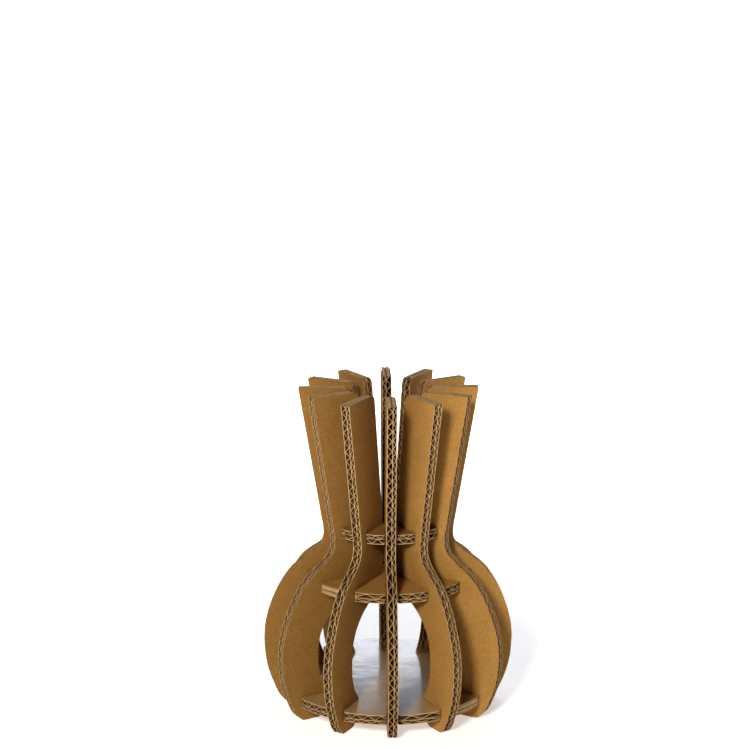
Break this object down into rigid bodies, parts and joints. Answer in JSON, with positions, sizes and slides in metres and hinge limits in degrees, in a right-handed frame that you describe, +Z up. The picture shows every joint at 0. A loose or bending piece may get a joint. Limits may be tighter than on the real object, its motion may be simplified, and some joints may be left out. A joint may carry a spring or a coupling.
{
  "type": "slotted cardboard flower vase",
  "caption": "Slot-together vase of corrugated board: upright ribs round an open middle, half-lapped into slotted rings and a film-topped base disc that flower stems stand on.",
  "frame": {"origin": "on the vertical axis, at the level of the surface that the feet stand on", "axes": "+Z up along the axis; -Y is the front, where rib_01 stands; rib numbers go anticlockwise seen from above"},
  "size_m": [0.1784, 0.1784, 0.233],
  "materials": {
    "rib_board": "uncoated brown kraft liner, fluted cut edges showing",
    "ring_board": "uncoated brown kraft liner, fluted cut edges showing",
    "clear_film": "glossy clear laminating film"
  },
  "bodies": {
    "core": {"upper_ring": "ring_board", "middle_ring": "ring_board", "base_disc": "ring_board", "base_film": "clear_film"},
    "rib_01_body": {"rib_01": "rib_board"},
    "rib_02_body": {"rib_02": "rib_board"},
    "rib_03_body": {"rib_03": "rib_board"},
    "rib_04_body": {"rib_04": "rib_board"},
    "rib_05_body": {"rib_05": "rib_board"},
    "rib_06_body": {"rib_06": "rib_board"},
    "rib_07_body": {"rib_07": "rib_board"},
    "rib_08_body": {"rib_08": "rib_board"},
    "rib_09_body": {"rib_09": "rib_board"},
    "rib_10_body": {"rib_10": "rib_board"},
    "rib_11_body": {"rib_11": "rib_board"},
    "rib_12_body": {"rib_12": "rib_board"}
  },
  "joints": [
    {"name": "rib_01_pull", "type": "slide", "parent": "core", "child": "rib_01_body", "axis": [0, -1, 0], "range_m": [0, 0.05]},
    {"name": "rib_02_pull", "type": "slide", "parent": "core", "child": "rib_02_body", "axis": [0.5, -0.866, 0], "range_m": [0, 0.05]},
    {"name": "rib_03_pull", "type": "slide", "parent": "core", "child": "rib_03_body", "axis": [0.866, -0.5, 0], "range_m": [0, 0.05]},
    {"name": "rib_04_pull", "type": "slide", "parent": "core", "child": "rib_04_body", "axis": [1, 0, 0], "range_m": [0, 0.05]},
    {"name": "rib_05_pull", "type": "slide", "parent": "core", "child": "rib_05_body", "axis": [0.866, 0.5, 0], "range_m": [0, 0.05]},
    {"name": "rib_06_pull", "type": "slide", "parent": "core", "child": "rib_06_body", "axis": [0.5, 0.866, 0], "range_m": [0, 0.05]},
    {"name": "rib_07_pull", "type": "slide", "parent": "core", "child": "rib_07_body", "axis": [0, 1, 0], "range_m": [0, 0.05]},
    {"name": "rib_08_pull", "type": "slide", "parent": "core", "child": "rib_08_body", "axis": [-0.5, 0.866, 0], "range_m": [0, 0.05]},
    {"name": "rib_09_pull", "type": "slide", "parent": "core", "child": "rib_09_body", "axis": [-0.866, 0.5, 0], "range_m": [0, 0.05]},
    {"name": "rib_10_pull", "type": "slide", "parent": "core", "child": "rib_10_body", "axis": [-1, 0, 0], "range_m": [0, 0.05]},
    {"name": "rib_11_pull", "type": "slide", "parent": "core", "child": "rib_11_body", "axis": [-0.866, -0.5, 0], "range_m": [0, 0.05]},
    {"name": "rib_12_pull", "type": "slide", "parent": "core", "child": "rib_12_body", "axis": [-0.5, -0.866, 0], "range_m": [0, 0.05]}
  ]
}
